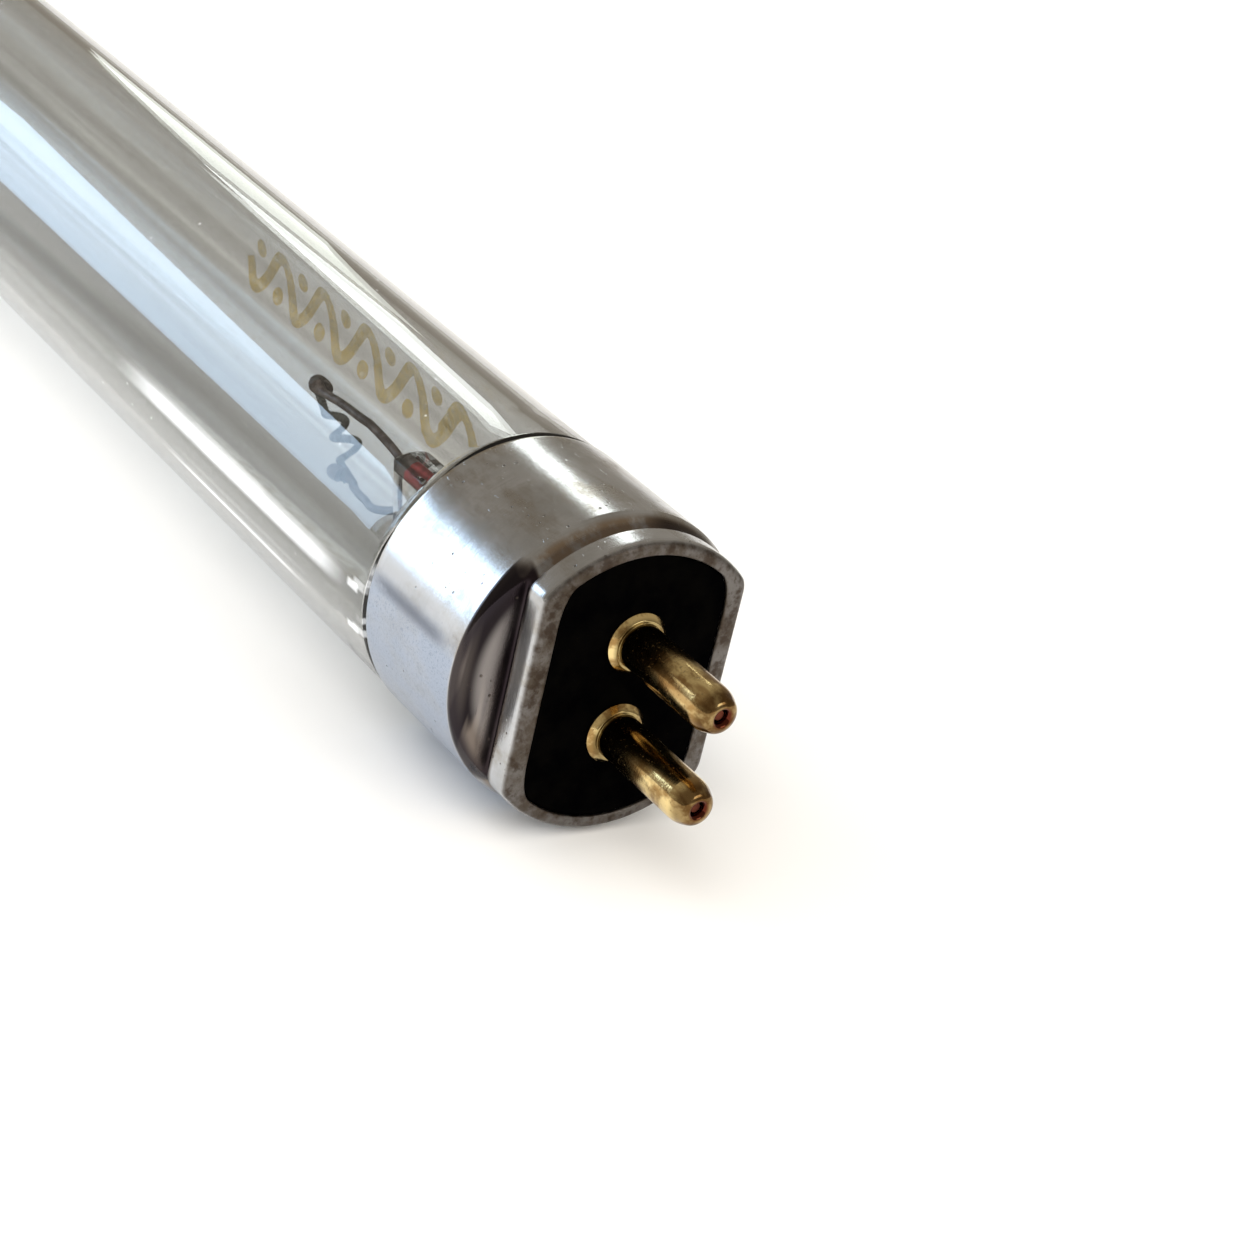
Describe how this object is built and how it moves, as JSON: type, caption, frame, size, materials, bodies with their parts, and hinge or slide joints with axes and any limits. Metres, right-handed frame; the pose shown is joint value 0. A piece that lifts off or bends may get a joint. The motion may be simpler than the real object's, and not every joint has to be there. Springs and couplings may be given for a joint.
{
  "type": "germicidal lamp tube",
  "caption": "Straight clear-glass germicidal discharge lamp with a two-pin aluminium cap on each end and an electrode inside each.",
  "frame": {"origin": "on the lamp's axis, half way between the two caps", "axes": "+X along the lamp towards the near cap, Z along the line of the two pins, right handed"},
  "size_m": [0.3022, 0.0156, 0.0156],
  "materials": {
    "tube_glass": "clear, polished",
    "stem_glass": "clear, fire polished",
    "mercury": "liquid metal",
    "cap_aluminium": "drawn sheet, satin, fine scratches",
    "black_insulator": "moulded, black",
    "pin_brass": "polished brass",
    "filament": "dark coated tungsten",
    "lead_nickel": "oxidised nickel wire",
    "seal_copper": "red oxidised copper cladding",
    "lead_copper": "copper wire",
    "cement": "baked cement"
  },
  "bodies": {
    "root": {"glass_tube": "tube_glass", "mercury_drop": "mercury", "near_cap_shell": "cap_aluminium", "near_insulator_plate": "black_insulator", "near_stem_glass": "stem_glass", "near_filament_coil": "filament", "near_capping_cement": "cement", "near_upper_contact_pin": "pin_brass", "near_upper_seal_wire": "seal_copper", "near_upper_outer_lead": "lead_copper", "near_upper_inner_lead": "lead_nickel", "near_lower_contact_pin": "pin_brass", "near_lower_seal_wire": "seal_copper", "near_lower_outer_lead": "lead_copper", "near_lower_inner_lead": "lead_nickel", "far_cap_shell": "cap_aluminium", "far_insulator_plate": "black_insulator", "far_stem_glass": "stem_glass", "far_filament_coil": "filament", "far_capping_cement": "cement", "far_upper_contact_pin": "pin_brass", "far_upper_seal_wire": "seal_copper", "far_upper_outer_lead": "lead_copper", "far_upper_inner_lead": "lead_nickel", "far_lower_contact_pin": "pin_brass", "far_lower_seal_wire": "seal_copper", "far_lower_outer_lead": "lead_copper", "far_lower_inner_lead": "lead_nickel"}
  },
  "joints": []
}
